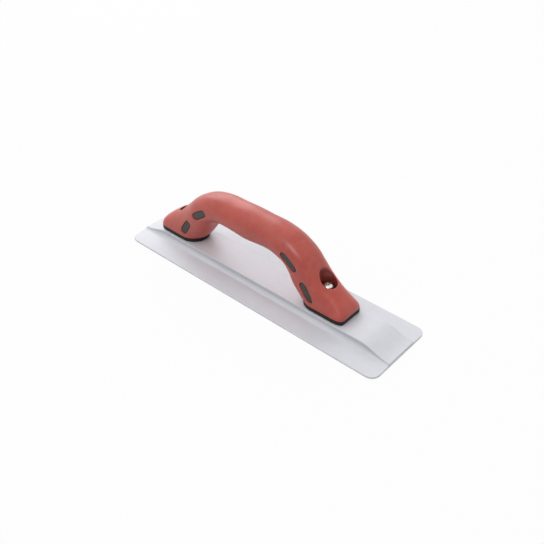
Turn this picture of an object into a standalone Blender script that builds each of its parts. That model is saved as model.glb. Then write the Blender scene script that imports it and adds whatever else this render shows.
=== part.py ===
"""Magnesium hand float: a cast blade with a raised spine, and a soft-skinned handle held by two screws."""

import math

import bmesh
import bpy
from mathutils import Vector

MM = 0.001
GAP = 0.3 * MM

# Blade: a flat working face, thin flanges and a thick spine down the middle
BLADE_LENGTH = 304.8 * MM
BLADE_WIDTH = 79.4 * MM
CORNER_RADIUS = 9.0 * MM
EDGE_THICKNESS = 2.0 * MM
EDGE_ROUND = 0.5 * MM
SPINE_MARGIN = 1.8 * MM
SPINE_HEIGHT = 11.4 * MM
SPINE_END_RISE = 2.4 * MM
SPINE_FALL = 31.0 * MM
RIDGE_RADIUS = 1.2 * MM
FLANGE_RISE = 2.4 * MM
FLANK_RUN = 1.0 * MM
FLANK_FILLET = 4.0 * MM

# Handle: heights count from the top of the spine, and lengths from the middle of the grip
HANDLE_SETBACK = 20.8 * MM
HANDLE_LENGTH = 230.8 * MM
HANDLE_HEIGHT = 64.9 * MM
FINGER_GAP = 34.0 * MM
GRIP_WIDTH = 33.0 * MM
FOOT_LENGTH = 50.0 * MM
FOOT_WIDTH = 31.6 * MM
SKIN_THICKNESS = 2.5 * MM
BAND_HEIGHT = 3.9 * MM

# Each row is one section of the half handle, from the middle of the grip down to the foot.
# The inner point goes from the finger gap's roof to the foot's inner end, and the outer point
# from the top of the grip to the toe. Width goes from the foot's, at 0, to the grip's, at 1.
# The powers square off the inner and outer halves of the section.
SECTIONS = (
    # in along, in up, out along, out up, width, in power, out power
    (0.000, 1.000, 0.000, 1.000, 0.15, 2.45, 2.15),
    (0.245, 1.060, 0.145, 0.987, 0.15, 2.45, 2.15),
    (0.450, 1.090, 0.295, 0.977, 0.45, 2.45, 2.15),
    (0.575, 1.025, 0.455, 0.907, 0.70, 2.45, 2.20),
    (0.670, 0.960, 0.600, 0.748, 1.00, 2.45, 2.25),
    (0.755, 0.755, 0.685, 0.590, 1.00, 2.45, 2.25),
    (0.825, 0.460, 0.765, 0.466, 0.85, 2.45, 2.20),
    (0.895, 0.222, 0.845, 0.346, 0.55, 2.20, 2.40),
    (0.955, 0.067, 0.938, 0.212, 0.30, 2.10, 2.80),
    (0.990, 0.015, 0.997, 0.100, 0.15, 2.00, 4.40),
    (1.000, 0.000, 1.000, 0.000, 0.00, 2.00, 9.00),
)
ALONG_COLUMNS = (0, 2)
SPAN_STEPS = 2
RING_POINTS = 20

# Windows in the skin: the row of SECTIONS that each lies on, and its shift outwards from the centre line
UPPER_WINDOW = (4, -1.0 * MM)
LOWER_WINDOW = (7, 2.5 * MM)
WINDOW_LENGTH = 20.0 * MM
WINDOW_WIDTH = 7.0 * MM
PAD_SINK = 0.6 * MM

# Screw stack at each foot
SCREW_FROM_TOE = 26.6 * MM
SHANK_DIAMETER = 5.0 * MM
HEAD_OVERHANG = 2.3 * MM
HEAD_HEIGHT = 3.5 * MM
WASHER_WALL = 3.4 * MM
WASHER_THICKNESS = 1.2 * MM
LOCK_WASHER_WALL = 1.8 * MM
LOCK_WASHER_THICKNESS = 1.4 * MM
LOCK_WASHER_SPLIT = 1.6 * MM
LOCK_WASHER_SLANT = math.radians(20)
BORE_CLEARANCE = 1.8 * MM
BORE_FLOOR = 17.6 * MM
SLEEVE_WALL = 1.5 * MM
METAL_UNDER_SCREW = 3.6 * MM
DRIVE_WIDTH = 5.2 * MM
DRIVE_SLOT = 1.2 * MM
DRIVE_DEPTH = 2.0 * MM
TURN_STEPS = 24

# Worked out from the sizes above
HALF_LENGTH = HANDLE_LENGTH / 2
HANDLE_CENTRE_X = HANDLE_SETBACK + HALF_LENGTH - BLADE_LENGTH / 2
SPINE_WIDTH = FOOT_WIDTH + 2 * SPINE_MARGIN
SKIN_BASE = BAND_HEIGHT + GAP
CORE_INSET = SKIN_THICKNESS + GAP
SCREW_FROM_CENTRE = HALF_LENGTH - SCREW_FROM_TOE
SCREW_HOLE_RADIUS = SHANK_DIAMETER / 2 + GAP
HEAD_RADIUS = SHANK_DIAMETER / 2 + HEAD_OVERHANG
WASHER_RADIUS = SCREW_HOLE_RADIUS + WASHER_WALL
LOCK_WASHER_RADIUS = SCREW_HOLE_RADIUS + LOCK_WASHER_WALL
BORE_RADIUS = WASHER_RADIUS + BORE_CLEARANCE
SLEEVE_RADIUS = BORE_RADIUS + SLEEVE_WALL
WASHER_SEAT = BORE_FLOOR + GAP
LOCK_WASHER_SEAT = WASHER_SEAT + WASHER_THICKNESS + GAP
HEAD_SEAT = LOCK_WASHER_SEAT + LOCK_WASHER_THICKNESS + GAP
TAPPED_DEPTH = SPINE_HEIGHT - METAL_UNDER_SCREW
SHANK_LENGTH = HEAD_SEAT + TAPPED_DEPTH - 2 * GAP
ENDS = (("rear", -1), ("front", 1))
WINDOWS = (("upper", UPPER_WINDOW), ("lower", LOWER_WINDOW))


def clear_scene():
    for obj in list(bpy.data.objects):
        bpy.data.objects.remove(obj)


def new_collection(name):
    collection = bpy.data.collections.new(name)
    bpy.context.scene.collection.children.link(collection)
    return collection


def new_material(name, colour, roughness, metallic):
    material = bpy.data.materials.new(name)
    material.use_nodes = True
    shader = material.node_tree.nodes["Principled BSDF"]
    shader.inputs["Base Color"].default_value = (*colour, 1.0)
    shader.inputs["Roughness"].default_value = roughness
    shader.inputs["Metallic"].default_value = metallic
    return material


def link_mesh(name, mesh, collection, parent=None):
    obj = bpy.data.objects.new(name, mesh)
    collection.objects.link(obj)
    obj.parent = parent
    if collection is CUTTERS:
        obj.hide_render = True
        obj.display_type = "WIRE"
    return obj


def finish_mesh(name, bm):
    mesh = bpy.data.meshes.new(name)
    bmesh.ops.recalc_face_normals(bm, faces=bm.faces)
    bm.to_mesh(mesh)
    bm.free()
    mesh.shade_smooth()
    mesh.set_sharp_from_angle(angle=math.radians(35))
    return mesh


def loft(name, loops, cyclic=False):
    """Skin a row of loops that have equal point counts, and close both ends or join them into a tube."""
    bm = bmesh.new()
    rings = [[bm.verts.new(point) for point in loop] for loop in loops]
    following = rings[1:] + rings[:1] if cyclic else rings[1:]
    for ring, after in zip(rings, following):
        for i in range(len(ring)):
            j = (i + 1) % len(ring)
            bm.faces.new((ring[i], ring[j], after[j], after[i]))
    if not cyclic:
        bm.faces.new(rings[0])
        bm.faces.new(rings[-1])
    return finish_mesh(name, bm)


def cylinder(name, radius, bottom, top, place, parent=None):
    """A round cutter that stands on Z at place, from bottom to top."""
    bm = bmesh.new()
    size = {"segments": TURN_STEPS, "radius1": radius, "radius2": radius, "depth": top - bottom}
    bmesh.ops.create_cone(bm, cap_ends=True, **size)
    bmesh.ops.translate(bm, verts=bm.verts, vec=(0, 0, (top + bottom) / 2))
    obj = link_mesh(name, finish_mesh(name, bm), CUTTERS, parent)
    obj.location = (place, 0, 0)
    return obj


def block(name, size, collection, parent=None):
    bm = bmesh.new()
    bmesh.ops.create_cube(bm, size=1.0)
    bmesh.ops.scale(bm, verts=bm.verts, vec=size)
    return link_mesh(name, finish_mesh(name, bm), collection, parent)


def turned(name, profile, closed=False):
    """Turn (radius, height) points, listed down the outer side, about Z."""
    count = len(profile)
    edges = [(i, (i + 1) % count) for i in range(count if closed else count - 1)]
    mesh = bpy.data.meshes.new(name)
    mesh.from_pydata([(radius, 0, height) for radius, height in profile], edges, [])
    obj = link_mesh(name, mesh, PARTS)
    screw = obj.modifiers.new("Turn", "SCREW")
    screw.steps = TURN_STEPS
    screw.render_steps = TURN_STEPS
    screw.use_merge_vertices = True
    screw.merge_threshold = 0.00001
    return obj


def combine(target, other, operation):
    modifier = target.modifiers.new(other.name, "BOOLEAN")
    modifier.operation = operation
    modifier.object = other
    modifier.solver = "EXACT"


def filleted(corners):
    """Round each (y, z, radius, steps) corner of an open line; a corner with no steps stays sharp."""
    points = []
    for i, (y, z, radius, steps) in enumerate(corners):
        here = Vector((y, z))
        if steps == 0:
            points.append(here)
            continue
        back = (Vector(corners[i - 1][:2]) - here).normalized()
        on = (Vector(corners[i + 1][:2]) - here).normalized()
        half_turn = (math.pi - back.angle(on)) / 2
        tangent = radius * math.tan(half_turn)
        start, end = here + back * tangent, here + on * tangent
        for step in range(steps + 1):
            share = step / steps
            points.append(start.lerp(here, share).lerp(here.lerp(end, share), share))
    return points


def blade_stations():
    """(x, half width) from the middle of the blade to its end, round the plan corner."""
    fall_start = BLADE_LENGTH / 2 - SPINE_FALL
    corner_start = BLADE_LENGTH / 2 - CORNER_RADIUS
    straight, corner = 4, 4
    stations = [(0.0, BLADE_WIDTH / 2)]
    for i in range(straight + 1):
        stations.append((fall_start + (corner_start - fall_start) * i / straight, BLADE_WIDTH / 2))
    for i in range(1, corner + 1):
        angle = math.pi / 2 * i / corner
        half_width = BLADE_WIDTH / 2 - CORNER_RADIUS * (1 - math.cos(angle))
        stations.append((corner_start + CORNER_RADIUS * math.sin(angle), half_width))
    return stations


def blade_section(x, half_width):
    """One cross-section of the blade: flat below, flange, filleted flank and flat spine above."""
    fall = max(0.0, abs(x) - (BLADE_LENGTH / 2 - SPINE_FALL)) / SPINE_FALL
    spine_rise = SPINE_HEIGHT - EDGE_THICKNESS
    rise = 1 - (1 - SPINE_END_RISE / spine_rise) * fall ** 2 * (3 - 2 * fall)
    spine_z = EDGE_THICKNESS + spine_rise * rise
    foot_z = EDGE_THICKNESS + FLANGE_RISE * rise
    ridge_y = SPINE_WIDTH / 2
    foot_y = ridge_y + FLANK_RUN
    half = filleted((
        (half_width, 0.0, 0.0, 0),
        (half_width, EDGE_THICKNESS, 0.0, 0),
        (foot_y, foot_z, FLANK_FILLET * rise, 4),
        (ridge_y, spine_z, RIDGE_RADIUS * rise, 3),
        (0.0, spine_z, 0.0, 0),
    ))
    right = [(x, point.x, point.y) for point in half]
    left = [(x, -point.x, point.y) for point in reversed(half[:-1])]
    return right + left


def build_blade():
    half = blade_stations()
    stations = [(-x, width) for x, width in reversed(half[1:])] + half
    blade = link_mesh("blade", loft("blade", [blade_section(x, width) for x, width in stations]), PARTS)
    rounding = blade.modifiers.new("Edges", "BEVEL")
    rounding.width = EDGE_ROUND
    rounding.segments = 2
    rounding.limit_method = "ANGLE"
    rounding.angle_limit = math.radians(42)
    for end, side in ENDS:
        place = HANDLE_CENTRE_X + side * SCREW_FROM_CENTRE
        hole = cylinder(end + "_tapped_hole", SCREW_HOLE_RADIUS, METAL_UNDER_SCREW, 2 * SPINE_HEIGHT, place)
        combine(blade, hole, "DIFFERENCE")
    blade.data.materials.append(new_material("magnesium", (0.62, 0.63, 0.66), 0.42, 1.0))


def handle_rows():
    """Sections of the half handle with smooth steps between them, mirrored where the two halves meet."""
    mirrored = [-value if column in ALONG_COLUMNS else value for column, value in enumerate(SECTIONS[1])]
    beyond = [2 * last - before for last, before in zip(SECTIONS[-1], SECTIONS[-2])]
    rows = [mirrored, *SECTIONS, beyond]
    result = []
    for i in range(1, len(rows) - 2):
        for step in range(SPAN_STEPS):
            t = step / SPAN_STEPS
            result.append([
                b + 0.5 * t * (c - a + t * (2 * a - 5 * b + 4 * c - d + t * (3 * (b - c) + d - a)))
                for a, b, c, d in zip(*rows[i - 1:i + 3])
            ])
    return result + [list(SECTIONS[-1])]


def section_frame(row):
    """The inner point, outward direction, depth and centre distance of one handle section."""
    in_along, in_up, out_along, out_up = row[:4]
    inner = Vector((in_along * (HALF_LENGTH - FOOT_LENGTH), 0, SKIN_BASE + in_up * (FINGER_GAP - SKIN_BASE)))
    outer = Vector((out_along * HALF_LENGTH, 0, SKIN_BASE + out_up * (HANDLE_HEIGHT - SKIN_BASE)))
    depth = (outer - inner).length
    return inner, (outer - inner) / depth, depth, min(depth, GRIP_WIDTH) / 2


def section_centre(row):
    inner, direction, _, inner_depth = section_frame(row)
    return inner + direction * inner_depth


def handle_ring(row, side, inset, lift=0.0):
    """Points of one handle section, drawn in by the inset."""
    _, direction, depth, inner_depth = section_frame(row)
    centre = section_centre(row) + Vector((0, 0, lift))
    width, in_power, out_power = row[4:]
    half_width = (FOOT_WIDTH + width * (GRIP_WIDTH - FOOT_WIDTH)) / 2 - inset
    points = []
    for i in range(RING_POINTS):
        angle = 2 * math.pi * i / RING_POINTS
        outward, across = math.cos(angle), math.sin(angle)
        on_outer_half = i <= RING_POINTS / 4 or i >= RING_POINTS * 3 / 4
        power = out_power if on_outer_half else in_power
        reach = (depth - inner_depth if on_outer_half else inner_depth) - inset
        along = math.copysign(abs(outward) ** (2 / power), outward) * reach
        point = centre + direction * along
        y = math.copysign(abs(across) ** (2 / power), across) * half_width
        points.append((side * point.x, y, point.z))
    return points


def handle_rings(inset):
    """Every section from the rear foot over the grip to the front foot."""
    rows = handle_rows()
    rear = [handle_ring(row, -1, inset) for row in reversed(rows)]
    front = [handle_ring(row, 1, inset) for row in rows[1:]]
    return rear + front


def core_rings():
    """The core's sections: a full-width band under each foot, then the body inside the skin."""
    foot = SECTIONS[-1]
    band_bottom = GAP - SKIN_BASE
    band_top = BAND_HEIGHT - SKIN_BASE

    def band(side):
        return [
            handle_ring(foot, side, 0.0, band_bottom),
            handle_ring(foot, side, 0.0, band_top),
            handle_ring(foot, side, CORE_INSET, band_top),
        ]

    return band(-1) + handle_rings(CORE_INSET) + band(1)[::-1]


def slot_block(name, window, side, clearance, seat):
    """A round-ended bar across the handle that fills or cuts one pair of windows."""
    row, shift = window
    middle = section_centre(SECTIONS[row]) + section_frame(SECTIONS[row])[1] * shift
    run = section_centre(SECTIONS[row + 1]) - section_centre(SECTIONS[row - 1])
    width = WINDOW_WIDTH + 2 * clearance
    bm = bmesh.new()
    bmesh.ops.create_cube(bm, size=1.0)
    bmesh.ops.scale(bm, verts=bm.verts, vec=(WINDOW_LENGTH + 2 * clearance, 2 * GRIP_WIDTH, width))
    long_edges = [edge for edge in bm.edges if abs(edge.verts[0].co.y - edge.verts[1].co.y) > GRIP_WIDTH]
    bmesh.ops.bevel(bm, geom=long_edges, offset=0.499 * width, segments=6, affect="EDGES", profile=0.5)
    obj = link_mesh(name, finish_mesh(name, bm), CUTTERS, seat)
    obj.location = (side * middle.x, 0, middle.z)
    obj.rotation_euler = (0, side * math.atan2(-run.z, run.x), 0)
    return obj


def build_core(seat):
    core = link_mesh("handle_core", loft("handle_core", core_rings()), PARTS, seat)
    pad_limit = link_mesh("pad_limit", loft("pad_limit", handle_rings(PAD_SINK)), CUTTERS, seat)
    for end, side in ENDS:
        for level, window in WINDOWS:
            pad = slot_block(f"{end}_{level}_pad", window, side, 0.0, seat)
            combine(pad, pad_limit, "INTERSECT")
            combine(core, pad, "UNION")
    for end, side in ENDS:
        place = side * SCREW_FROM_CENTRE
        pocket = cylinder(end + "_pocket", SLEEVE_RADIUS + GAP, BORE_FLOOR, HANDLE_HEIGHT, place, seat)
        hole = cylinder(end + "_screw_hole", SCREW_HOLE_RADIUS, -BORE_FLOOR, 2 * BORE_FLOOR, place, seat)
        combine(core, pocket, "DIFFERENCE")
        combine(core, hole, "DIFFERENCE")
    core.data.materials.append(new_material("black_plastic", (0.03, 0.03, 0.033), 0.55, 0.0))


def build_grip(seat):
    rings = handle_rings(0.0) + handle_rings(SKIN_THICKNESS)[::-1]
    grip = link_mesh("handle_grip", loft("handle_grip", rings, cyclic=True), PARTS, seat)
    mid_skin = loft("sleeve_limit", handle_rings(SKIN_THICKNESS / 2))
    sleeve_limit = link_mesh("sleeve_limit", mid_skin, CUTTERS, seat)
    for end, side in ENDS:
        place = side * SCREW_FROM_CENTRE
        sleeve = cylinder(end + "_sleeve", SLEEVE_RADIUS, BORE_FLOOR + GAP, HANDLE_HEIGHT, place, seat)
        bore = cylinder(end + "_bore", BORE_RADIUS, 0.0, HANDLE_HEIGHT, place, seat)
        combine(sleeve, sleeve_limit, "INTERSECT")
        combine(grip, sleeve, "UNION")
        combine(grip, bore, "DIFFERENCE")
        for level, window in WINDOWS:
            combine(grip, slot_block(f"{end}_{level}_window", window, side, GAP, seat), "DIFFERENCE")
    grip.data.materials.append(new_material("red_rubber", (0.45, 0.085, 0.062), 0.5, 0.0))


def screw_profile():
    """Domed pan head and plain shank with a chamfered tip, from the crown down."""
    head, shank = HEAD_RADIUS, SHANK_DIAMETER / 2
    crown = [(0.0, HEAD_HEIGHT)]
    for i in range(1, 5):
        angle = math.pi / 2 * i / 4
        crown.append((head * (0.55 + 0.45 * math.sin(angle)), HEAD_HEIGHT * (0.4 + 0.6 * math.cos(angle))))
    tip = -SHANK_LENGTH
    chamfer = shank * 0.3
    return crown + [(head, 0.0), (shank, 0.0), (shank, tip + chamfer), (shank - chamfer, tip), (0.0, tip)]


def ring_profile(inner, outer, thickness):
    return [(inner, thickness), (outer, thickness), (outer, 0.0), (inner, 0.0)]


def build_screw_stack(end, side, steel):
    place = HANDLE_CENTRE_X + side * SCREW_FROM_CENTRE
    screw = turned(end + "_screw", screw_profile())
    screw.location = (place, 0, SPINE_HEIGHT + HEAD_SEAT)
    for i, arm in enumerate(((DRIVE_WIDTH, DRIVE_SLOT), (DRIVE_SLOT, DRIVE_WIDTH))):
        recess = block(f"{end}_drive_{i}", (*arm, 2 * DRIVE_DEPTH), CUTTERS, screw)
        recess.location = (0, 0, HEAD_HEIGHT)
        combine(screw, recess, "DIFFERENCE")

    flat_ring = ring_profile(SCREW_HOLE_RADIUS, WASHER_RADIUS, WASHER_THICKNESS)
    washer = turned(end + "_washer", flat_ring, closed=True)
    washer.location = (place, 0, SPINE_HEIGHT + WASHER_SEAT)

    spring_ring = ring_profile(SCREW_HOLE_RADIUS, LOCK_WASHER_RADIUS, LOCK_WASHER_THICKNESS)
    lock_washer = turned(end + "_lock_washer", spring_ring, closed=True)
    lock_washer.location = (place, 0, SPINE_HEIGHT + LOCK_WASHER_SEAT)
    split_size = (2 * LOCK_WASHER_RADIUS, LOCK_WASHER_SPLIT, 4 * LOCK_WASHER_THICKNESS)
    split = block(end + "_split", split_size, CUTTERS, lock_washer)
    split.location = (side * LOCK_WASHER_RADIUS, 0, LOCK_WASHER_THICKNESS / 2)
    split.rotation_euler = (LOCK_WASHER_SLANT, 0, 0)
    combine(lock_washer, split, "DIFFERENCE")

    for piece in (screw, washer, lock_washer):
        piece.data.materials.append(steel)


def build_float():
    build_blade()
    seat = bpy.data.objects.new("handle_seat", None)
    seat.location = (HANDLE_CENTRE_X, 0, SPINE_HEIGHT)
    PARTS.objects.link(seat)
    build_core(seat)
    build_grip(seat)
    steel = new_material("zinc_plated_steel", (0.72, 0.72, 0.70), 0.3, 1.0)
    for end, side in ENDS:
        build_screw_stack(end, side, steel)


clear_scene()
PARTS = new_collection("hand_float")
CUTTERS = new_collection("cutters")
build_float()
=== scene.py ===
# %% [markdown]
# # A magnesium hand float
# A hand float is the flat tool that smooths fresh concrete. This one is a cast magnesium blade with a
# thick spine, and a bridge handle: a dark plastic core under a soft red skin, held by one screw down
# each foot. The packed CAD model is loaded first as a fixed frame, and each of its pieces is then
# replaced in place by a finer one.

# %% Load the frame
import math
from itertools import product

import bmesh
import bpy
import numpy as np
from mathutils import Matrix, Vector


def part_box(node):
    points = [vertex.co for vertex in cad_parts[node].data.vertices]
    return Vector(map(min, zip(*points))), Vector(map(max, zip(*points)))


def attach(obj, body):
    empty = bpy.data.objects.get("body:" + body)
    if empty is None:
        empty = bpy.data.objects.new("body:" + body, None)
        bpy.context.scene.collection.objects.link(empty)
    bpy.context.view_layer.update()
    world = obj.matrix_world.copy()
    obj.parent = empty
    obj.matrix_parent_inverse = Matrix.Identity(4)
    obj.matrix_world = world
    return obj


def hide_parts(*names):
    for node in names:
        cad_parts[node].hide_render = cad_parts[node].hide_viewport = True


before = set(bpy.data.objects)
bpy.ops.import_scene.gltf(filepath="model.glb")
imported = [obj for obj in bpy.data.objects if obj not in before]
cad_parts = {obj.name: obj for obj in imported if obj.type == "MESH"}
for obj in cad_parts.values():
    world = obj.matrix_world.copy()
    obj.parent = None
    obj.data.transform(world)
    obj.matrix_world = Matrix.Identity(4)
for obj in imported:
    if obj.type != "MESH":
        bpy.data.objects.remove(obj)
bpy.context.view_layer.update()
MM = 0.001
print("CAD nodes:", ", ".join(sorted(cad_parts)))

# %% [markdown]
# ## Node maths as plain sums
# Materials and Geometry Nodes both use Math nodes. Linking them by hand hides the formula, so one small
# class wraps an output socket and turns ordinary Python operators into Math nodes. Every other node
# comes from its `node` method, which sets the node's settings first and then its sockets.


# %% A socket that can stand in a sum
class Wire:
    """An output socket of a node tree; an operator on it adds a Math node."""

    def __init__(self, tree, socket=None):
        self.tree = tree
        self.socket = socket

    def node(self, kind, settings=None, inputs=None, output=0):
        """Add any node, from its type, its settings and the values or links of its sockets."""
        made = self.tree.nodes.new(kind)
        for name, value in (settings or {}).items():
            setattr(made, name, value)
        for name, value in (inputs or {}).items():
            if isinstance(value, Wire):
                self.tree.links.new(value.socket, made.inputs[name])
            else:
                made.inputs[name].default_value = value
        return Wire(self.tree, made.outputs[output] if len(made.outputs) else None)

    def also(self, output):
        """Another output of the node that this socket belongs to."""
        return Wire(self.tree, self.socket.node.outputs[output])

    def math(self, operation, *values):
        return self.node("ShaderNodeMath", {"operation": operation}, dict(enumerate(values)))

    def __add__(self, other):
        return self.math("ADD", self, other)

    def __sub__(self, other):
        return self.math("SUBTRACT", self, other)

    def __rsub__(self, other):
        return self.math("SUBTRACT", other, self)

    def __mul__(self, other):
        return self.math("MULTIPLY", self, other)

    def __truediv__(self, other):
        return self.math("DIVIDE", self, other)

    def __rtruediv__(self, other):
        return self.math("DIVIDE", other, self)

    def __pow__(self, other):
        return self.math("POWER", self, other)

    def __rpow__(self, other):
        return self.math("POWER", other, self)

    def __abs__(self):
        return self.math("ABSOLUTE", self)

    def at_least(self, other):
        return self.math("MAXIMUM", self, other)

    def at_most(self, other):
        return self.math("MINIMUM", self, other)

    def root(self):
        """Square root, with anything below nought taken as nought."""
        return self.math("SQRT", self.at_least(0.0))

    def sine(self):
        return self.math("SINE", self)

    def exponent(self):
        return self.math("EXPONENT", self)

    __radd__ = __add__
    __rmul__ = __mul__


print("Wire has", len([name for name in vars(Wire) if name.startswith("__r")]), "reflected operators")

# %% [markdown]
# ## Helpers for growing a piece
# A Geometry Nodes tree is a recipe with named inputs. `new_tree` starts one, `end_tree` closes it, and
# `grow` runs it once and keeps the plain mesh, because the finished part must not depend on modifiers.


# %% Start and close a tree
def new_tree(name, **kinds):
    """A Geometry Nodes tree with one named input for each keyword, and a wire from each of them."""
    tree = bpy.data.node_groups.new(name, "GeometryNodeTree")
    tree.interface.new_socket("Geometry", in_out="OUTPUT", socket_type="NodeSocketGeometry")
    for label, kind in kinds.items():
        tree.interface.new_socket(label, in_out="INPUT", socket_type="NodeSocket" + kind)
    entry = Wire(tree).node("NodeGroupInput")
    return tree, {label: entry.also(label) for label in kinds}


def end_tree(shape, material):
    """Turn instances into real mesh, give it its material and hand it out."""
    real = shape.node("GeometryNodeRealizeInstances", None, {"Geometry": shape})
    finished = real.node("GeometryNodeSetMaterial", None, {"Geometry": real, "Material": material})
    finished.node("NodeGroupOutput", None, {"Geometry": finished})


# %% Run a tree and look at what it made
def bake(obj):
    """Replace an object's mesh by what its modifiers make of it."""
    shown = obj.evaluated_get(bpy.context.evaluated_depsgraph_get())
    mesh = bpy.data.meshes.new_from_object(shown)
    obj.modifiers.clear()
    obj.data = mesh
    mesh.name = obj.name
    return obj


def add_object(name, mesh):
    obj = bpy.data.objects.new(name, mesh)
    bpy.context.scene.collection.objects.link(obj)
    return obj


def grow(name, tree, **values):
    """Run a tree with these input values."""
    obj = add_object(name, bpy.data.meshes.new(name))
    modifier = obj.modifiers.new(name, "NODES")
    modifier.node_group = tree
    for item in tree.interface.items_tree:
        if item.in_out == "INPUT":
            modifier[item.identifier] = values[item.name]
    return bake(obj)


def soften(obj, angle=35):
    """Smooth shading that keeps edges sharper than the angle, in degrees."""
    obj.data.shade_smooth()
    obj.data.set_sharp_from_angle(angle=math.radians(angle))
    return obj


def tell(obj):
    """Print what was made: its triangles, its volume and whether it is closed."""
    bm = bmesh.new()
    bm.from_mesh(obj.data)
    open_edges = sum(not edge.is_manifold for edge in bm.edges)
    triangles = sum(len(face.verts) - 2 for face in bm.faces)
    volume = bm.calc_volume(signed=True) * 1e6
    bm.free()
    print(f"{obj.name}: {triangles} triangles, {volume:.2f} ml, {open_edges} open edges")


# %% [markdown]
# ## Surface patterns
# A finish is mostly noise at the right scale. Object coordinates are in metres here, so a scale of 1000
# gives a feature about every millimetre, and stretching the coordinates turns blobs into brush lines.


# %% Noise, mixing and bump
def start_material(name):
    material = bpy.data.materials.new(name)
    material.use_nodes = True
    material.node_tree.nodes.clear()
    start = Wire(material.node_tree)
    return material, start.node("ShaderNodeTexCoord", output="Object")


def noise(place, scale, detail=3.0, stretch=None, turn=0.0):
    """Noise from nought to one; the stretch multiplies the coordinates on each axis first."""
    if stretch:
        settings = {"Vector": place, "Scale": stretch, "Rotation": (0, 0, turn)}
        place = place.node("ShaderNodeMapping", {"vector_type": "POINT"}, settings)
    inputs = {"Vector": place, "Scale": scale, "Detail": detail, "Roughness": 0.6}
    return place.node("ShaderNodeTexNoise", None, inputs)


def ramp(value, low, high):
    """Smooth step of a value from nought at low to one at high."""
    inputs = {"Value": value, "From Min": low, "From Max": high}
    return value.node("ShaderNodeMapRange", {"interpolation_type": "SMOOTHSTEP"}, inputs)


def mix(share, first, second):
    """Colour that goes from the first to the second as the share goes from nought to one."""
    return share.node("ShaderNodeMix", {"data_type": "RGBA"}, {0: share, 6: first, 7: second}, output=2)


def bump(height, distance, strength=1.0):
    return height.node("ShaderNodeBump", None, {"Height": height, "Distance": distance, "Strength": strength})


def end_material(start, **sockets):
    """A Principled shader; keywords use _ for the spaces in socket names."""
    inputs = {name.replace("_", " "): value for name, value in sockets.items()}
    shader = start.node("ShaderNodeBsdfPrincipled", None, inputs)
    shader.node("ShaderNodeOutputMaterial", None, {"Surface": shader})


# %% [markdown]
# ## Magnesium
# The blade is cast, then brushed along its length, and stays a pale satin grey. Long stretched noise
# gives the brush lines, a few sparse ones turn into scratches, and a broad soft noise gives the cloudy
# tone of cast metal. The blade's recipe stores how close each point is to an edge, where the brushing has
# rubbed the metal a little brighter and smoother. It also stores which points lie on the steep wall below
# the ridge, and the colour there is painted darker as the shade that falls on that wall.


# %% Magnesium material
def magnesium_finish():
    material, place = start_material("brushed_magnesium")
    cloud = noise(place, 38.0, 4.0)
    cast = noise(place, 420.0, 4.0)
    brush = noise(place, 1.0, 3.0, stretch=(14.0, 1500.0, 900.0))
    broad_brush = noise(place, 1.0, 2.0, stretch=(5.0, 330.0, 260.0))
    scratch = ramp(noise(place, 1.0, 1.0, stretch=(22.0, 900.0, 500.0), turn=0.10), 0.70, 0.76)
    other_scratch = ramp(noise(place, 1.0, 1.0, stretch=(30.0, 700.0, 500.0), turn=-0.32), 0.72, 0.78)
    marks = scratch.at_least(other_scratch) * ramp(cloud, 0.40, 0.62)
    edge = place.node("ShaderNodeAttribute", {"attribute_name": "edge"}, output="Fac")
    rubbed = edge * ramp(cast, 0.30, 0.60)
    # Mask of the steep wall below the ridge, where shade is painted into the colour
    wall = place.node("ShaderNodeAttribute", {"attribute_name": "wall"}, output="Fac")

    tone = cloud * 0.45 + broad_brush * 0.3 + brush * 0.25
    colour = mix(ramp(tone, 0.30, 0.70), (0.622, 0.628, 0.672, 1), (0.672, 0.680, 0.722, 1))
    colour = mix(ramp(cast, 0.35, 0.75) * 0.25, colour, (0.570, 0.576, 0.625, 1))
    colour = mix(marks * 0.4, colour, (0.700, 0.706, 0.740, 1))
    colour = mix(rubbed * 0.25, colour, (0.685, 0.690, 0.724, 1))
    # Painted shade: the steep wall below the ridge is darkened as if in shadow
    colour = mix(wall * 0.7, colour, (0.420, 0.425, 0.465, 1))
    roughness = 0.50 + (brush - 0.5) * 0.12 + (cast - 0.5) * 0.10 - rubbed * 0.10 - marks * 0.08
    relief = brush * 0.55 + broad_brush * 0.25 + cast * 0.35 - marks * 0.4
    end_material(place, Base_Color=colour, Roughness=roughness, Metallic=0.15,
                 Normal=bump(relief, 0.05 * MM, 0.6))
    return material


magnesium = magnesium_finish()
print("Material:", magnesium.name)

# %% [markdown]
# ## The blade
# The blade follows one rule: a flat working face, thin flanges, and a spine whose flat top carries the
# handle and rolls down near both ends. It could be lofted by hand, but a formula keeps every section
# true. A fine cube is the raw stock, and Set Position gives each of its points a place: the first
# coordinate runs along the blade, the second across it and the third from face to top. The points crowd
# towards the ends, the sides and the ridge, where the shape turns most.

# %% Sizes of the blade
blade_low, blade_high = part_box("blade")
BLADE = {
    "Length": blade_high.x - blade_low.x,
    "Width": blade_high.y - blade_low.y,
    "Corner": 9.0 * MM,
    "Edge": 2.0 * MM,
    "Round": 0.55 * MM,
    "Spine": blade_high.z,
    "Ridge": 17.6 * MM,
    "Flank": 4.4 * MM,
    "Curl": 1.1 * MM,
    "Flange": 2.4 * MM,
    "Fall": 31.0 * MM,
    "End_Rise": 2.4 * MM,
}
SPINE_TOP = blade_high.z
print("Blade, mm:", {name: round(size / MM, 2) for name, size in BLADE.items()})

# %% The blade's plan and height
RIDGE_CROWDING = 0.75
CROWDING_REACH = 3.0 * MM
FOOT_BLEND = 0.5 * MM
RIDGE_BLEND = 4.0 * MM


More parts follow.
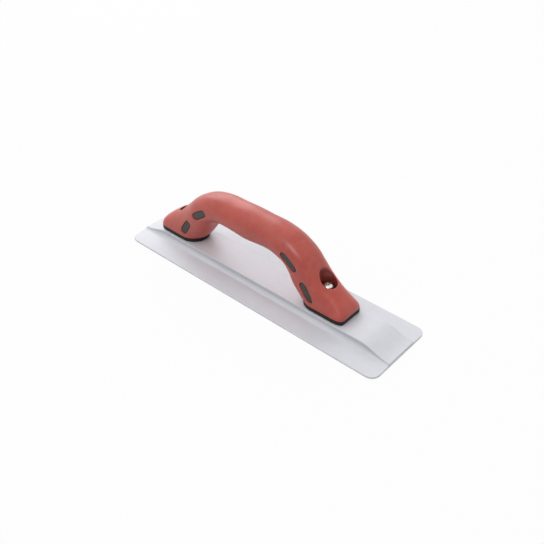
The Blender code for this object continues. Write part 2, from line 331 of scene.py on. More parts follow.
def blade_plan(stock, size):
    """Where a point of the stock lies in plan, and how far it is from the outline."""
    half_length = size["Length"] * 0.5
    half_width = size["Width"] * 0.5
    straight = half_length - size["Corner"]
    x = half_length * (stock.also("X") * (math.pi / 2)).sine()
    past = (abs(x) - straight).at_least(0.0)
    outline = half_width - size["Corner"] + (size["Corner"] ** 2.0 - past ** 2.0).root()
    across = stock.also("Y")
    even = outline * (abs(across) * 0.5 + (abs(across) * (math.pi / 2)).sine() * 0.5)
    off_ridge = even - size["Ridge"]
    crowding = RIDGE_CROWDING * (0.0 - off_ridge * off_ridge / CROWDING_REACH ** 2).exponent()
    y = across.math("SIGN", across) * (size["Ridge"] + off_ridge * (1.0 - crowding))
    beside = abs(y) - (half_width - size["Corner"])
    ahead = abs(x) - straight
    corner = (ahead.at_least(0.0) ** 2.0 + beside.at_least(0.0) ** 2.0).root()
    inside = (size["Corner"] - corner - ahead.at_least(beside).at_most(0.0)).at_least(0.0)
    return x, y, inside


def blade_height(x, y, size):
    """Height of the top: flange, flank and spine blended, and rolled down near the ends."""
    rise = size["Spine"] - size["Edge"]
    fall = (abs(x) - (size["Length"] * 0.5 - size["Fall"])).at_least(0.0) / size["Fall"]
    roll = 1.0 - (1.0 - size["End_Rise"] / rise) * fall * fall * (3.0 - 2.0 * fall)
    foot = size["Ridge"] + size["Flank"]
    flange = size["Flange"] * (size["Width"] * 0.5 - abs(y)) / (size["Width"] * 0.5 - foot)
    decay = ((size["Ridge"] - abs(y)) / size["Curl"]).exponent()
    last = ((0.0 - size["Flank"]) / size["Curl"]).exponent()
    flank = flange + (rise - size["Flange"]) * (decay - last) / (1.0 - last)
    side = flange.math("SMOOTH_MAX", flange, flank, FOOT_BLEND)
    return size["Edge"] + roll * side.math("SMOOTH_MIN", side, rise, RIDGE_BLEND)


# %% The blade's recipe
CUT = {"operation": "DIFFERENCE", "solver": "MANIFOLD"}
RUBBED_REACH = 2.0 * MM
# Where the painted shade on the wall below the ridge starts and ends, in shares of the flank's curl
WALL_SHADE_START = (-0.2, 0.2)
WALL_SHADE_END = (0.35, 1.1)


def blade_tree():
    sizes = {name: "Float" for name in BLADE}
    tree, size = new_tree("blade", **sizes, Hole_Start="Vector", Hole_Step="Vector", Hole_Radius="Float",
                          Hole_Depth="Float", Material="Material")
    start = size["Length"]
    stock_sizes = {"Size": (2, 2, 2), "Vertices X": 100, "Vertices Y": 151, "Vertices Z": 6}
    stock = start.node("GeometryNodeMeshCube", None, stock_sizes)
    place = start.node("GeometryNodeInputPosition")
    axes = start.node("ShaderNodeSeparateXYZ", None, {"Vector": place})
    x, y, inside = blade_plan(axes, size)
    drop = size["Round"] - (size["Round"] ** 2.0 - (size["Round"] - inside).at_least(0.0) ** 2.0).root()
    top = blade_height(x, y, size) - drop
    level = axes.also("Z") * 0.5 + 0.5
    spot = start.node("ShaderNodeCombineXYZ", None, {"X": x, "Y": y, "Z": drop + (top - drop) * level})
    edge = 1.0 - (inside / RUBBED_REACH).at_most(1.0)
    # Mask for the painted shade on the steep wall below the ridge
    below_ridge = (abs(y) - size["Ridge"]) / size["Curl"]
    wall = ramp(below_ridge, *WALL_SHADE_START) * (1.0 - ramp(below_ridge, *WALL_SHADE_END))
    for name, value in (("edge", edge), ("wall", wall)):
        marked = {"Geometry": stock, "Name": name, "Value": value}
        stock = start.node("GeometryNodeStoreNamedAttribute", {"data_type": "FLOAT"}, marked)
    shaped = start.node("GeometryNodeSetPosition", None, {"Geometry": stock, "Position": spot})
    smooth = start.node("GeometryNodeSetShadeSmooth", None, {"Geometry": shaped})

    drill = {"Vertices": 40, "Radius": size["Hole_Radius"], "Depth": size["Hole_Depth"]}
    drill = start.node("GeometryNodeMeshCylinder", None, drill)
    line = {"Count": 2, "Start Location": size["Hole_Start"], "Offset": size["Hole_Step"]}
    points = start.node("GeometryNodeMeshLine", None, line)
    drills = start.node("GeometryNodeInstanceOnPoints", None, {"Points": points, "Instance": drill})
    drills = start.node("GeometryNodeRealizeInstances", None, {"Geometry": drills})
    cut = {"Mesh 1": smooth, "Mesh 2": drills}
    end_tree(start.node("GeometryNodeMeshBoolean", CUT, cut), size["Material"])
    return tree


blade_recipe = blade_tree()
print("Blade recipe:", len(blade_recipe.nodes), "nodes")

# %% [markdown]
# ## Where the screws stand
# The CAD screws give both axes, so the blade's tapped holes, the handle's bores and the screw stacks all
# come from one place.

# %% Screw axes, and the blade itself
screw_low, screw_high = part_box("front_screw")
rear_low, rear_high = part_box("rear_screw")
FRONT_X = (screw_low.x + screw_high.x) / 2
REAR_X = (rear_low.x + rear_high.x) / 2
SCREW_TOP = screw_high.z
SCREW_TIP = screw_low.z
HANDLE_X = (FRONT_X + REAR_X) / 2
SCREW_REACH = (FRONT_X - REAR_X) / 2
SCREW_HOLE_RADIUS = 2.8 * MM
TIP_ROOM = 0.6 * MM
HOLE_FLOOR = SCREW_TIP - TIP_ROOM
HOLE_DEPTH = 2 * (SPINE_TOP - HOLE_FLOOR)
blade = grow(
    "float_blade",
    blade_recipe,
    **BLADE,
    Hole_Start=(REAR_X, 0, HOLE_FLOOR + HOLE_DEPTH / 2),
    Hole_Step=(2 * SCREW_REACH, 0, 0),
    Hole_Radius=SCREW_HOLE_RADIUS,
    Hole_Depth=HOLE_DEPTH,
    Material=magnesium,
)
soften(blade, 40)
tell(blade)
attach(blade, "root")
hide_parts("blade")

# %% [markdown]
# ## The handle's shape
# The handle is a row of rounded sections along an arch. Each section has an inner point, towards the
# fingers, and an outer point, and is a superellipse between them: power 2 is an ellipse, and more squares
# it off towards the toe. A smooth curve through the rows gives a section anywhere, so the skin, the core
# inside it and the windows all follow the same surface.

# %% Sizes of the handle
grip_low, grip_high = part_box("handle_grip")
HALF_LENGTH = (grip_high.x - grip_low.x) / 2
GRIP_WIDTH = grip_high.y - grip_low.y
HANDLE_HEIGHT = grip_high.z - SPINE_TOP
FINGER_GAP = 34.0 * MM
FOOT_LENGTH = 50.0 * MM
FOOT_WIDTH = 31.6 * MM
SKIN_THICKNESS = 2.5 * MM
SKIN_BASE = grip_low.z - SPINE_TOP
GAP = 0.3 * MM
CORE_INSET = SKIN_THICKNESS + GAP
SECTIONS = np.array((
    # in along, in up, out along, out up, width, in power, out power
    (0.000, 1.000, 0.000, 1.000, 0.15, 2.45, 2.15),
    (0.245, 1.060, 0.145, 0.987, 0.15, 2.45, 2.15),
    (0.450, 1.090, 0.295, 0.977, 0.45, 2.45, 2.15),
    (0.575, 1.025, 0.455, 0.907, 0.70, 2.45, 2.20),
    (0.670, 0.960, 0.600, 0.748, 1.00, 2.45, 2.25),
    (0.755, 0.755, 0.685, 0.590, 1.00, 2.45, 2.25),
    (0.825, 0.460, 0.765, 0.466, 0.85, 2.45, 2.20),
    (0.895, 0.222, 0.845, 0.346, 0.55, 2.20, 2.40),
    (0.955, 0.067, 0.938, 0.212, 0.30, 2.10, 2.80),
    (0.990, 0.015, 0.997, 0.100, 0.15, 2.00, 4.40),
    (1.000, 0.000, 1.000, 0.000, 0.00, 2.00, 9.00),
))
MIRROR = np.array((-1, 1, -1, 1, 1, 1, 1))
ROWS = np.vstack((SECTIONS[1] * MIRROR, SECTIONS, 2 * SECTIONS[-1] - SECTIONS[-2]))
for name, value in (("long", 2 * HALF_LENGTH), ("wide", GRIP_WIDTH), ("high", HANDLE_HEIGHT)):
    print(f"Handle: {value / MM:.1f} mm {name}")


# %% A section anywhere along the arch
LAST_SECTION = len(SECTIONS) - 1


def section(t, inset=0.0):
    """Centre, outward direction, reaches, half width and powers of the section t rows from the middle."""
    i = min(int(t), LAST_SECTION - 1)
    s = t - i
    a, b, c, d = ROWS[i:i + 4]
    row = b + 0.5 * s * (c - a + s * (2 * a - 5 * b + 4 * c - d + s * (3 * (b - c) + d - a)))
    inner = np.array((row[0] * (HALF_LENGTH - FOOT_LENGTH), SKIN_BASE + row[1] * (FINGER_GAP - SKIN_BASE)))
    outer = np.array((row[2] * HALF_LENGTH, SKIN_BASE + row[3] * (HANDLE_HEIGHT - SKIN_BASE)))
    depth = np.linalg.norm(outer - inner)
    out = (outer - inner) / depth
    inner_depth = min(depth, GRIP_WIDTH) / 2
    half_width = (FOOT_WIDTH + row[4] * (GRIP_WIDTH - FOOT_WIDTH)) / 2 - inset
    reaches = (inner_depth - inset, depth - inner_depth - inset)
    return inner + out * inner_depth, out, reaches, half_width, row[5:7]


def ring_point(t, angle, inset):
    """Point of a section: along the handle, across it and up, with angle nought at the outer point."""
    centre, out, reaches, half_width, powers = section(t, inset)
    outward, across = math.cos(angle), math.sin(angle)
    half = 1 if outward > -1e-9 else 0
    reach = math.copysign(abs(outward) ** (2 / powers[half]), outward) * reaches[half]
    along, up = centre + out * reach
    return along, math.copysign(abs(across) ** (2 / powers[half]), across) * half_width, up


print("Arch centre line, mm:", [tuple(np.round(section(t)[0] / MM, 1)) for t in (0, 4, 7, 10)])

# %% Points seen from the side or from above
HALVINGS = 40
# How far the two searches look, in rows of SECTIONS
SIDE_SEARCH = 2.2
TOP_SEARCH = (3.0, 9.0)


def half_span(share, power):
    """How wide a superellipse still is at a share of its reach."""
    return max(0.0, 1.0 - min(1.0, abs(share)) ** power) ** (1 / power)


def side_point(along, up, near, inset):
    """The point on the handle's side that a side view shows at (along, up), near section `near`."""
    low, high = max(near - SIDE_SEARCH, 0.0), min(near + SIDE_SEARCH, LAST_SECTION)
    for _ in range(HALVINGS):
        middle = (low + high) / 2
        centre, out, reaches, half_width, powers = section(middle, inset)
        ahead = (along - centre[0]) * out[1] - (up - centre[1]) * out[0]
        low, high = (middle, high) if ahead > 0 else (low, middle)
    outward = (along - centre[0]) * out[0] + (up - centre[1]) * out[1]
    half = 1 if outward > 0 else 0
    return along, half_width * half_span(outward / reaches[half], powers[half]), up


def top_point(along, across, inset):
    """The point on the handle's outer side that a top view shows at (along, across)."""
    low, high = TOP_SEARCH
    for _ in range(HALVINGS):
        middle = (low + high) / 2
        centre, out, reaches, half_width, powers = section(middle, inset)
        point = centre + out * reaches[1] * half_span(across / half_width, powers[1])
        low, high = (middle, high) if point[0] < along else (low, middle)
    return along, across, point[1]


def in_frame(point, side):
    """From handle coordinates to the shared frame; side is -1 for the rear half and 1 for the front."""
    along, across, up = point
    return HANDLE_X + side * along, across, SPINE_TOP + up


print(f"Handle over a screw: {top_point(SCREW_REACH, 0.0, 0.0)[2] / MM:.1f} mm above the spine")

# %% [markdown]
# ## A cage for skin and core
# Both pieces start as the same coarse cage of quads, which a Subdivision Surface later rounds. The cage's
# rows and columns are placed so that each side window is a block of four by two faces, and each screw
# bore a block of three by four. The points round such a block move onto the true outline, and the faces
# inside it go, so the holes are part of the flow of the quads and need no cutting.

# %% Cage rows and columns
CAGE_ROWS = (0, 0.6, 1.2, 1.8, 2.3, 2.75, 3.17, 3.6, 4.0, 4.42, 4.85, 5.33, 5.82, 6.4, 7.0, 7.6, 8.2,
             8.6, 9.0, 9.4, 9.75, 9.93, 10)
COLUMNS = 28
QUARTER = COLUMNS // 4
ENDS = (-1, 1)
FLANKS = ((1, (QUARTER - 1, QUARTER, QUARTER + 1)), (-1, (3 * QUARTER + 1, 3 * QUARTER, 3 * QUARTER - 1)))
WINDOWS = ((4, -1.0 * MM, CAGE_ROWS.index(3.17)), (7, 2.5 * MM, CAGE_ROWS.index(5.82)))
WINDOW_LENGTH = 20.0 * MM
WINDOW_WIDTH = 7.0 * MM
PAD_SINK = 0.6 * MM
BORE_ROWS = range(CAGE_ROWS.index(5.33), CAGE_ROWS.index(7.0) + 1)
BORE_COLUMNS = (COLUMNS - 2, COLUMNS - 1, 0, 1, 2)
BORE_RADIUS = 8.0 * MM
LAST_ROW = len(CAGE_ROWS) - 1
print("Cage:", 2 * LAST_ROW + 1, "rows of", COLUMNS, "points")

# %% Points and faces of the cage
FINE_STEPS = 60
SETTLE_ROUNDS = 12


def cage_row(side, row):
    """Row of the whole cage, counted from the rear foot, for a row of one half."""
    return LAST_ROW + side * row


def even_ring(t, inset):
    """Points round a section, one for each column, spread evenly over each quarter of it."""
    ring = []
    for quarter in range(4):
        angles = (quarter + np.linspace(0, 1, FINE_STEPS)) * math.pi / 2
        fine = np.array([ring_point(t, angle, inset) for angle in angles])
        run = np.append(0.0, np.cumsum(np.linalg.norm(np.diff(fine, axis=0), axis=1)))
        steps = np.linspace(0, run[-1], QUARTER, endpoint=False)
        ring += list(np.column_stack([np.interp(steps, run, fine[:, axis]) for axis in range(3)]))
    return ring


def settle(wanted, open_rows=False):
    """Cage points whose rounded surface passes through the wanted points, row by row round closed loops."""
    wanted = np.array(wanted)
    cage = wanted.copy()
    for _ in range(SETTLE_ROUNDS):
        rounded = (np.roll(cage, 1, axis=-2) + 4 * cage + np.roll(cage, -1, axis=-2)) / 6
        if open_rows:
            rounded[1:-1] = (rounded[:-2] + 4 * rounded[1:-1] + rounded[2:]) / 6
        cage += wanted - rounded
    return cage


def cage_points(inset):
    """Every cage point, keyed by (row, column)."""
    grid = np.zeros((2 * LAST_ROW + 1, COLUMNS, 3))
    for row, t in enumerate(CAGE_ROWS):
        ring = even_ring(t, inset)
        for side in ENDS:
            grid[cage_row(side, row)] = [in_frame(point, side) for point in ring]
    grid = settle(grid, open_rows=True)
    return {(row, column): grid[row, column] for row, column in np.ndindex(grid.shape[:2])}


def cage_quads():
    rows = range(2 * LAST_ROW)
    return [
        ((row, column), (row + 1, column), (row + 1, (column + 1) % COLUMNS), (row, (column + 1) % COLUMNS))
        for row, column in product(rows, range(COLUMNS))
    ]


def strip(first, second):
    """Quads between two closed loops of keys."""
    pairs = list(zip(first, second))
    return [(a, c, d, b) for (a, b), (c, d) in zip(pairs, pairs[1:] + pairs[:1])]


print("Cage:", len(cage_quads()), "faces before its holes")


# %% Outlines of the windows and bores
# Share of a slot's straight side at which its outline has a point
SLOT_STEP = 0.7


def window_outline(margin):
    """Twelve points round a slot with round ends, keyed by (row, column) of its block of 5 by 3."""
    radius = WINDOW_WIDTH / 2 + margin
    flat = (WINDOW_LENGTH - WINDOW_WIDTH) / 2
    slant = radius * math.sqrt(0.5)
    half = {(0, 0): (-flat - slant, slant), (0, 1): (-flat - radius, 0.0), (0, 2): (-flat - slant, -slant)}
    for row, along in ((1, -SLOT_STEP * flat), (2, 0.0)):
        half[row, 0] = (along, radius)
        half[row, 2] = (along, -radius)
    mirrored = {(4 - row, column): (-along, across) for (row, column), (along, across) in half.items()}
    return {**half, **mirrored}


WINDOW_RING = ((0, 0), (0, 1), (0, 2), (1, 2), (2, 2), (3, 2), (4, 2), (4, 1), (4, 0), (3, 0), (2, 0), (1, 0))


def window_points(window, margin, inset):
    """Points of a window's outline on the handle's side, keyed by (row, column) of its block."""
    near, shift, _ = window
    centre, out = section(near)[:2]
    run = section(near + 1)[0] - section(near - 1)[0]
    run = run / np.linalg.norm(run)
    outward = np.array((-run[1], run[0]))
    middle = centre + out * shift
    outline = window_outline(margin)
    loop = []
    for key in WINDOW_RING:
        along, up = middle + run * outline[key][0] + outward * outline[key][1]
        loop.append(side_point(along, up, near, inset))
    return dict(zip(WINDOW_RING, settle(loop)))


def bore_block(side):
    """Cage keys round a bore's block, in order, with each one's angle about the screw."""
    rows = [cage_row(side, row) for row in BORE_ROWS]
    first = [(rows[0], column) for column in BORE_COLUMNS]
    last = [(rows[-1], column) for column in reversed(BORE_COLUMNS)]
    up = [(row, BORE_COLUMNS[-1]) for row in rows[1:-1]]
    down = [(row, BORE_COLUMNS[0]) for row in reversed(rows[1:-1])]
    loop = first + up + last + down
    step = 2 * math.pi / len(loop)
    start = math.pi + step * (len(BORE_COLUMNS) - 1) / 2
    return [(key, start - step * i) for i, key in enumerate(loop)]


print("Points round a window:", len(WINDOW_RING), "and round a bore:", len(bore_block(ENDS[0])))

# %% [markdown]
# ## Soft red skin
# The grip is a soft rubbery skin moulded over the core: satin, with a very fine grain, a slight cloudy
# unevenness in its red, and pale scuffs where hands rub it. A fine noise and a cell pattern do the grain
# and its bumps, and two larger noises the cloudiness. The walls of the two screw bores are painted darker
# as the shade inside them, and the distance from the nearer screw's axis says where they are.


# %% Skin material
# Reach of the painted shade on the bore walls, from the nearer screw's axis
BORE_SHADE_EDGE = (BORE_RADIUS + 0.05 * MM, BORE_RADIUS + 0.4 * MM)


def from_screw(place):
    """How far a point is from the axis of the nearer screw."""
    axes = place.node("ShaderNodeSeparateXYZ", None, {"Vector": place})
    away = abs(axes.also("X") - HANDLE_X) - SCREW_REACH
    return (away ** 2.0 + axes.also("Y") ** 2.0).root()


def skin_finish():
    material, place = start_material("soft_red_skin")
    cloud = noise(place, 24.0, 3.0)
    blotch = noise(place, 130.0, 3.0)
    grain = noise(place, 3200.0, 2.0)
    pebble = place.node("ShaderNodeTexVoronoi", {"feature": "F1"}, {"Vector": place, "Scale": 2300.0})
    scuff = ramp(noise(place, 1.0, 2.0, stretch=(60.0, 420.0, 420.0), turn=0.2), 0.66, 0.74)
    scuff = scuff * ramp(cloud, 0.45, 0.65)

    colour = mix(ramp(cloud, 0.30, 0.70), (0.415, 0.054, 0.037, 1), (0.510, 0.073, 0.050, 1))
    colour = mix(ramp(blotch, 0.40, 0.72) * 0.5, colour, (0.530, 0.098, 0.070, 1))
    colour = mix(ramp(grain, 0.45, 0.75) * 0.28, colour, (0.260, 0.040, 0.031, 1))
    colour = mix(scuff * 0.22, colour, (0.62, 0.27, 0.23, 1))
    # Painted shade: the bore walls are darkened towards deep brown as if in shadow
    painted_bore_shade = 1.0 - ramp(from_screw(place), *BORE_SHADE_EDGE)
    colour = mix(painted_bore_shade * 0.5, colour, (0.085, 0.022, 0.020, 1))
    roughness = 0.33 + (blotch - 0.5) * 0.16 + (grain - 0.5) * 0.14 + scuff * 0.08
    relief = grain * 0.5 + pebble * 0.5
    end_material(place, Base_Color=colour, Roughness=roughness, Specular_IOR_Level=0.6,
                 Normal=bump(relief, 0.06 * MM, 0.55))
    return material


skin_red = skin_finish()
print("Material:", skin_red.name)


# %% [markdown]
# ## The skin itself
# The skin is built as an open sheet, because a Solidify modifier then gives it one even wall. Windows are
# left out of the sheet, with a close second ring of points round each, which keeps its rim tight when the
# Subdivision Surface rounds everything. The bores' edges run on down as sleeves round the screw heads.


# %% Meshes from a cage
def add_mesh(name, points, faces):
    """An object from keyed points and faces of keys; points that no face uses are left out."""
    used = sorted({key for face in faces for key in face}, key=str)
    index = {key: i for i, key in enumerate(used)}
    mesh = bpy.data.meshes.new(name)
    mesh.from_pydata([points[key] for key in used], [], [[index[key] for key in face] for face in faces])
    return add_object(name, mesh), index


def without(faces, *blocks):
    """Faces that don't lie wholly inside one of the blocks of keys."""
    return [face for face in faces if not any(all(key in block for key in face) for block in blocks)]


def window_blocks():
    """(side, flank, window, keys of its block by (row, column)) for the eight side windows."""
    for side, (flank, columns), window in product(ENDS, FLANKS, WINDOWS):
        keys = {
            (row, column): (cage_row(side, window[2] + row), columns[column])
            for row, column in product(range(5), range(3))
        }
        yield side, flank, window, keys


print("Side windows:", len(list(window_blocks())))

# %% The skin's cage
RIM = 0.6 * MM
BORE_LIP = 0.45 * MM
BORE_EASE = 0.6 * MM
SLEEVE_DEPTH = 6.7 * MM
SLEEVE_SHARE = 0.6


def skin_cage():
    points = cage_points(0.0)
    faces = cage_quads()
    blocks = []
    for side, flank, window, keys in window_blocks():
        for margin, name in ((GAP + RIM, None), (GAP, "rim")):
            for key, (along, across, up) in window_points(window, margin, 0.0).items():
                place = (keys[key], name) if name else keys[key]
                points[place] = in_frame((along, flank * across, up), side)
        blocks.append(set(keys.values()))
        outline = [keys[key] for key in WINDOW_RING]
        faces += strip(outline, [(key, "rim") for key in outline])
    sleeves = set()
    for side in ENDS:
        loop = bore_block(side)
        blocks.append(set(product((cage_row(side, row) for row in BORE_ROWS), BORE_COLUMNS)))
        floor = SCREW_TOP - SPINE_TOP - SLEEVE_DEPTH
        lip = BORE_RADIUS + BORE_LIP
        rims, walls = [], [[], [], []]
        for _, angle in loop:
            rim = top_point(SCREW_REACH + lip * math.cos(angle), lip * math.sin(angle), 0.0)
            along, across = SCREW_REACH + BORE_RADIUS * math.cos(angle), BORE_RADIUS * math.sin(angle)
            rims.append(rim)
            for wall, up in zip(walls, (rim[2] - BORE_EASE, (rim[2] + floor) / 2, floor)):
                wall.append((along, across, up))
        levels = [[key for key, _ in loop]]
        levels += [[(key, depth) for key, _ in loop] for depth in range(3)]
        for keys, ring in zip(levels, (rims, *walls)):
            points.update((key, in_frame(point, side)) for key, point in zip(keys, settle(ring)))
        sleeves.update(key for keys in levels[1:] for key in keys)
        for upper, lower in zip(levels, levels[1:]):
            faces += strip(upper, lower)
    return points, without(faces, *blocks), sleeves


points, faces, sleeves = skin_cage()
print("Skin cage:", len(faces), "faces")


# %% Build the skin
def face_out(obj, outward):
    """Make all faces agree, with the one nearest the outward point facing away from the handle."""
    bm = bmesh.new()
    bm.from_mesh(obj.data)
    bmesh.ops.recalc_face_normals(bm, faces=bm.faces)
    bm.normal_update()
    nearest = min(bm.faces, key=lambda face: (face.calc_center_median() - outward).length)
    if nearest.normal.z < 0:
        bmesh.ops.reverse_faces(bm, faces=bm.faces)
    bm.to_mesh(obj.data)
    bm.free()


def round_off(obj):
    """Round the cage."""
    smooth = obj.modifiers.new("Round", "SUBSURF")
    smooth.levels = 2
    smooth.render_levels = 2


skin, index = add_mesh("handle_skin", points, faces)
face_out(skin, Vector((HANDLE_X, 0, grip_high.z)))
wall = skin.vertex_groups.new(name="wall")
for key, i in index.items():
    wall.add([i], SLEEVE_SHARE if key in sleeves else 1.0, "REPLACE")
solid = skin.modifiers.new("Wall", "SOLIDIFY")
solid.thickness = SKIN_THICKNESS
solid.offset = -1
solid.use_even_offset = True
solid.vertex_group = "wall"
round_off(skin)
bake(skin)
skin.vertex_groups.clear()
skin.data.materials.append(skin_red)
soften(skin, 60)
tell(skin)
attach(skin, "root")
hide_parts("handle_grip")

# %% [markdown]
# ## Dark moulded core
# The core shows only as the pads in the windows and the thin band under each foot. It is plain dark
# plastic with the fine spark grain of a mould; the band is painted almost black as the shade under the feet.


# %% Core material
SKIN_FOOT = SPINE_TOP + SKIN_BASE
# Height over which the painted shade on the band under the feet fades out
BAND_SHADE_RISE = 2.0 * MM


def core_finish():
    material, place = start_material("dark_moulded_core")
    cloud = noise(place, 60.0, 3.0)
    grain = noise(place, 2600.0, 3.0)
    pits = place.node("ShaderNodeTexVoronoi", {"feature": "F1"}, {"Vector": place, "Scale": 1900.0})
    height = place.node("ShaderNodeSeparateXYZ", None, {"Vector": place}).also("Z")
    # Painted shade: below the skin's foot the band is darkened almost to black, as the shade under the feet
    above_band_shade = ramp(height, SKIN_FOOT, SKIN_FOOT + BAND_SHADE_RISE)
    plastic_grey = mix(ramp(cloud, 0.30, 0.70), (0.046, 0.044, 0.039, 1), (0.068, 0.064, 0.057, 1))
    colour = mix(above_band_shade, (0.007, 0.006, 0.007, 1), plastic_grey)
    colour = mix(ramp(grain, 0.50, 0.80) * 0.4 * above_band_shade, colour, (0.085, 0.085, 0.078, 1))
    roughness = 0.52 + (grain - 0.5) * 0.2 + (cloud - 0.5) * 0.12
    relief = grain * 0.6 + pits * 0.4
    end_material(place, Base_Color=colour, Roughness=roughness, Specular_IOR_Level=0.3,
                 Normal=bump(relief, 0.08 * MM, 0.6))
    return material


core_dark = core_finish()
print("Material:", core_dark.name)


# %% [markdown]
# ## The core itself
# The core uses the same cage, drawn in under the skin. At each window the block of quads is pushed out
# as a pad that stops just under the skin's surface, and below the feet the cage steps out to the full
# outline as the dark band. The screw pockets are round and deep, so they are cut with Booleans at the end.


# %% The core's cage
BAND_TOP = SKIN_BASE - GAP
BAND_BOTTOM = GAP
BAND_EDGE = 0.4 * MM
BAND_STEPS = (
    # inset, height
    (CORE_INSET, BAND_TOP),
    (BAND_EDGE, BAND_TOP),
    (0.0, BAND_TOP),
    (0.0, BAND_TOP - BAND_EDGE),
    (0.0, BAND_BOTTOM + BAND_EDGE),
    (0.0, BAND_BOTTOM),
    (BAND_EDGE, BAND_BOTTOM),
)


def pad_points(window):
    """Three rings of a pad, from the core's surface to just inside its top edge, and its middle row."""
    rings = [window_points(window, margin, inset) for margin, inset in
             ((0.0, CORE_INSET), (0.0, PAD_SINK), (-RIM, PAD_SINK))]
    middle = {}
    for row in (1, 2, 3):
        along, _, up = np.mean((rings[2][row, 0], rings[2][row, 2]), axis=0)
        middle[row, 1] = side_point(along, up, window[0], PAD_SINK)
    return rings, middle


def core_cage():
    points = cage_points(CORE_INSET)
    faces = cage_quads()
    blocks = []
    for side, flank, window, keys in window_blocks():
        block = set(keys.values())
        rings, middle = pad_points(window)
        levels = [{key: (keys[key], depth) if depth else keys[key] for key in keys} for depth in range(3)]
        for level, ring in zip(levels, rings):
            for key, (along, across, up) in ring.items():
                points[level[key]] = in_frame((along, flank * across, up), side)
        for key, (along, across, up) in middle.items():
            points[levels[2][key]] = in_frame((along, flank * across, up), side)
        loops = [[level[key] for key in WINDOW_RING] for level in levels]
        faces += strip(loops[0], loops[1]) + strip(loops[1], loops[2])
        faces += [tuple((key, 2) for key in face) for face in faces if all(key in block for key in face)]
        blocks.append(block)
    for side in ENDS:
        foot = cage_row(side, LAST_ROW)
        above = [(foot, column) for column in range(COLUMNS)]
        for depth, (inset, up) in enumerate(BAND_STEPS):
            outline = [(along, across, up) for along, across, _ in even_ring(LAST_SECTION, inset)]
            ring = [(foot, column, depth) for column in range(COLUMNS)]
            points.update((key, in_frame(point, side)) for key, point in zip(ring, settle(outline)))
            faces += strip(above, ring)
            above = ring
        faces.append(tuple(above))
    return points, without(faces, *blocks)


points, faces = core_cage()
print("Core cage:", len(faces), "faces")


# %% Build the core
def drill(target, radius, bottom, top, x):
    """Cut a round hole that stands on Z."""
    bm = bmesh.new()
    size = {"segments": 64, "radius1": radius, "radius2": radius, "depth": top - bottom}
    bmesh.ops.create_cone(bm, cap_ends=True, **size)
    bmesh.ops.translate(bm, verts=bm.verts, vec=(x, 0, (top + bottom) / 2))
    mesh = bpy.data.meshes.new("drill")
    bm.to_mesh(mesh)
    bm.free()
    cutter = add_object("drill", mesh)
    modifier = target.modifiers.new("Drill", "BOOLEAN")
    modifier.operation = "DIFFERENCE"
    modifier.object = cutter
    return cutter


core, _ = add_mesh("handle_core_body", points, faces)
face_out(core, Vector((HANDLE_X, 0, grip_high.z)))
round_off(core)
BORE_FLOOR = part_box("front_washer")[0].z - GAP
POCKET_ROOM = 1.8 * MM
cutters = []
for side in ENDS:
    x = HANDLE_X + side * SCREW_REACH
    cutters.append(drill(core, BORE_RADIUS + POCKET_ROOM, BORE_FLOOR, grip_high.z, x))
    cutters.append(drill(core, SCREW_HOLE_RADIUS, 0.0, BORE_FLOOR + GAP, x))
bake(core)
for cutter in cutters:
    bpy.data.objects.remove(cutter)
core.data.materials.append(core_dark)
soften(core, 50)
tell(core)
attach(core, "root")
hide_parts("handle_core")

# %% [markdown]
# ## Bright zinc plate
# The screws and washers are steel with bright zinc plate. Turning and rolling leave rings about each
# axis, so the pattern reads the distance from the nearer screw, and the plate has a faint yellow cloud.


# %% Zinc material
# Phase of the turned rings, in radians per metre
TURNING_RINGS = 9000.0


def zinc_finish():
    material, place = start_material("bright_zinc_plate")
    rings = (from_screw(place) * TURNING_RINGS).sine() * 0.5 + 0.5
    cloud = noise(place, 240.0, 3.0)
    speck = noise(place, 5200.0, 2.0)
    colour = mix(ramp(cloud, 0.35, 0.68), (0.70, 0.70, 0.67, 1), (0.80, 0.79, 0.74, 1))
    colour = mix(ramp(speck, 0.58, 0.74) * 0.4, colour, (0.50, 0.49, 0.45, 1))
    roughness = 0.24 + (cloud - 0.5) * 0.14 + rings * 0.05 + (speck - 0.5) * 0.1
    relief = rings * 0.4 + speck * 0.6
    end_material(place, Base_Color=colour, Roughness=roughness, Metallic=1.0,
                 Normal=bump(relief, 0.02 * MM, 0.5))
    return material


zinc = zinc_finish()
print("Material:", zinc.name)


# %% [markdown]
# ## Screws and washers
# Each foot holds a pan-head screw with a cross recess, a split spring washer and a flat washer. A flat washer
# is a small profile swept round a circle, and the spring washer the same round most of a turn of a slow
# spiral. The screw's shank is a tube whose radius follows a helix. Each recipe makes one and puts it at
# both feet, turned a little differently, as two screws never stop at the same angle.


# %% Put a piece at both feet
REAR_TURN = 0.35


def at_both_feet(shape, inputs):
    """Instance a shape at the rear and the front screw, the second one turned."""
    line = {"Count": 2, "Start Location": inputs["Start"], "Offset": inputs["Step"]}
    points = shape.node("GeometryNodeMeshLine", None, line)
    index = shape.node("GeometryNodeInputIndex")
    turn = shape.node("ShaderNodeCombineXYZ", None, {"Z": index * inputs["Turn"] + REAR_TURN})
    placed = {"Points": points, "Instance": shape, "Rotation": turn}
    return shape.node("GeometryNodeInstanceOnPoints", None, placed)


STEEL = {"Start": "Vector", "Step": "Vector", "Turn": "Float", "Material": "Material"}


def feet(up, turn):
    """The inputs that say where a steel piece sits and how the front one is turned."""
    return {"Start": (REAR_X, 0, up), "Step": (2 * SCREW_REACH, 0, 0), "Turn": turn, "Material": zinc}


print(f"Screws: {2 * SCREW_REACH / MM:.1f} mm apart")

# %% Washer recipes
FLAT_WASHER_EDGE = 0.18 * MM
SPRING_WASHER_EDGE = 0.15 * MM


